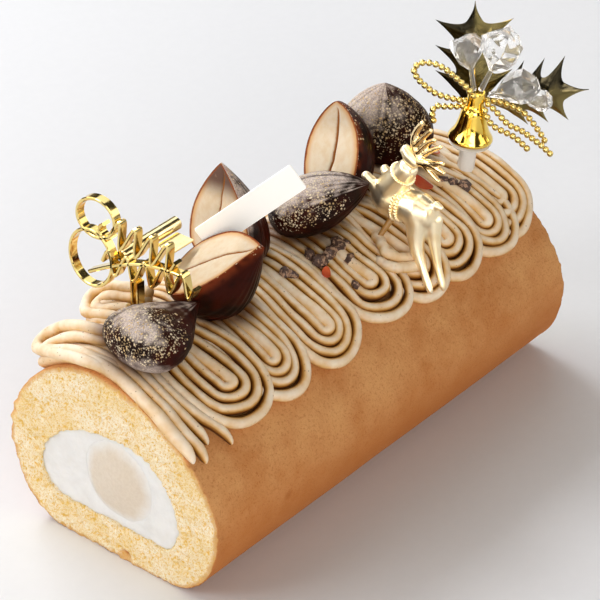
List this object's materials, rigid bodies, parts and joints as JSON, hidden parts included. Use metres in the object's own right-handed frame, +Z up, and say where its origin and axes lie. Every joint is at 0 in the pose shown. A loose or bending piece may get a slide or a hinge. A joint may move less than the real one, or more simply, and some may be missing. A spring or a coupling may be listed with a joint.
{
  "type": "swiss roll",
  "caption": "Swiss roll cake with a cream filling at both cut ends, piped chestnut strands, candied chestnuts and gilt festive picks on top.",
  "frame": {"origin": "centre of the roll's flat base", "axes": "+X along the roll away from its shown cut end, +Y towards its hidden long side, +Z up"},
  "size_m": [0.1848, 0.0795, 0.1172],
  "materials": {
    "sponge": "soft open crumb inside a thin tan skin",
    "whipped_cream": "smooth matt cream",
    "chestnut_cream": "smooth matt chestnut cream",
    "candied_chestnut": "dark ribbed skin with a sugar frosting",
    "cut_chestnut": "pale cut face inside a red-brown skin",
    "card": "smooth pale card",
    "gilt": "polished gilt",
    "champagne_gilt": "satin champagne gilt",
    "dark_gilt": "dark mirror gilt foil",
    "amber": "clear amber plastic",
    "milk_plastic": "milky plastic",
    "clear_plastic": "clear cut plastic"
  },
  "bodies": {
    "root": {"sponge_roll": "sponge", "whipped_cream": "whipped_cream", "chestnut_cream_core": "chestnut_cream", "piped_strands": "chestnut_cream", "chestnut_whole_front": "candied_chestnut", "chestnut_whole_middle": "candied_chestnut", "chestnut_whole_back": "candied_chestnut", "chestnut_half_front": "cut_chestnut", "chestnut_half_left": "cut_chestnut", "chestnut_half_back": "cut_chestnut", "plaque": "card", "scroll_ornament": "gilt", "gilt_tube": "gilt", "gilt_plate": "gilt", "bell": "gilt", "bead_loop": "gilt", "bead_tail_left": "gilt", "bead_tail_right": "gilt", "bead_tail_low": "gilt", "bead_tail_far": "gilt", "reindeer": "champagne_gilt", "holly_leaf_up": "dark_gilt", "holly_leaf_side": "dark_gilt", "reindeer_pick": "amber", "bell_post": "milk_plastic", "crystal_up": "clear_plastic", "crystal_large": "clear_plastic", "crystal_side": "clear_plastic", "crystal_low": "clear_plastic"}
  },
  "joints": []
}
